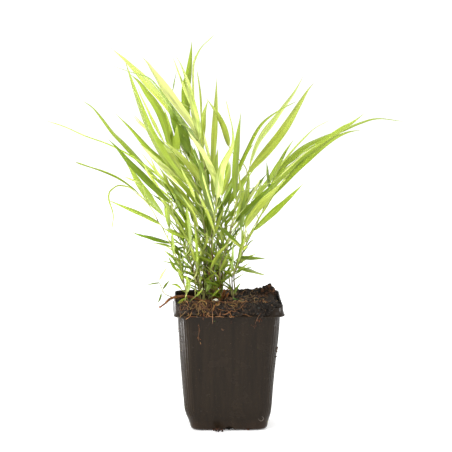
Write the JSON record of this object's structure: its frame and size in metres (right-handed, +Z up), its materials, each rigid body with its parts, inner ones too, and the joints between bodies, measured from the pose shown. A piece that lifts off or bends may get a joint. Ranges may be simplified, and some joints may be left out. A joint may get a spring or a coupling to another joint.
{
  "type": "japanese forest grass in a nursery pot",
  "caption": "Young Japanese forest grass with arching yellow-green blades on thin culms, in a square dark brown plastic nursery pot filled with peat.",
  "frame": {"origin": "centre of the pot's underside, on the plane that it stands on", "axes": "+Z up along the pot, -Y towards the front of the pot, +X to the right seen from the front"},
  "size_m": [0.2964, 0.1801, 0.315],
  "materials": {
    "pot_plastic": "dark brown satin moulded polypropylene, glossier on the rim, with dust and peat smears",
    "peat": "damp dark peat with tan fibres",
    "root": "orange-brown fibrous roots",
    "dead_sheath": "dry brown old sheaths",
    "perlite": "off-white expanded perlite",
    "culm": "smooth olive-green stems with pale sheaths",
    "culm_purple": "smooth purple-brown stems",
    "leaf_lime": "thin translucent blade, lime yellow, fine parallel veins",
    "leaf_pale": "thin translucent blade, pale yellow",
    "leaf_light": "thin translucent blade, light green",
    "leaf_mid": "thin translucent blade, mid green",
    "leaf_dark": "thin blade in shade, dark green",
    "leaf_grey": "matt underside of a blade, grey green"
  },
  "bodies": {
    "root": {"pot": "pot_plastic", "root_ball": "peat", "root_mat": "root", "stray_root": "root", "crown": "dead_sheath", "perlite_grain": "perlite", "culm_01": "culm", "culm_02": "culm", "culm_03": "culm", "culm_04": "culm", "culm_05": "culm_purple", "culm_06": "culm", "culm_07": "culm", "culm_08": "culm", "culm_09": "culm", "culm_10": "culm_purple", "culm_11": "culm_purple", "culm_12": "culm_purple", "culm_13": "culm_purple", "culm_14": "culm_purple", "culm_15": "culm", "blade_01": "leaf_light", "blade_02": "leaf_pale", "blade_03": "leaf_grey", "blade_04": "leaf_dark", "blade_05": "leaf_light", "blade_06": "leaf_lime", "blade_07": "leaf_mid", "blade_08": "leaf_pale", "blade_09": "leaf_mid", "blade_10": "leaf_lime", "blade_11": "leaf_dark", "blade_12": "leaf_light", "blade_13": "leaf_mid", "blade_14": "leaf_mid", "blade_15": "leaf_light", "blade_16": "leaf_dark", "blade_17": "leaf_light", "blade_18": "leaf_mid", "blade_19": "leaf_lime", "blade_20": "leaf_light", "blade_21": "leaf_light", "blade_22": "leaf_light", "blade_23": "leaf_lime", "blade_24": "leaf_grey", "blade_25": "leaf_pale", "blade_26": "leaf_mid", "blade_27": "leaf_light", "blade_28": "leaf_lime", "blade_29": "leaf_mid", "blade_30": "leaf_lime", "blade_31": "leaf_mid", "blade_32": "leaf_dark", "blade_33": "leaf_light", "blade_34": "leaf_light", "blade_35": "leaf_dark", "blade_36": "leaf_mid", "blade_37": "leaf_pale", "blade_38": "leaf_light", "blade_39": "leaf_mid"}
  },
  "joints": []
}
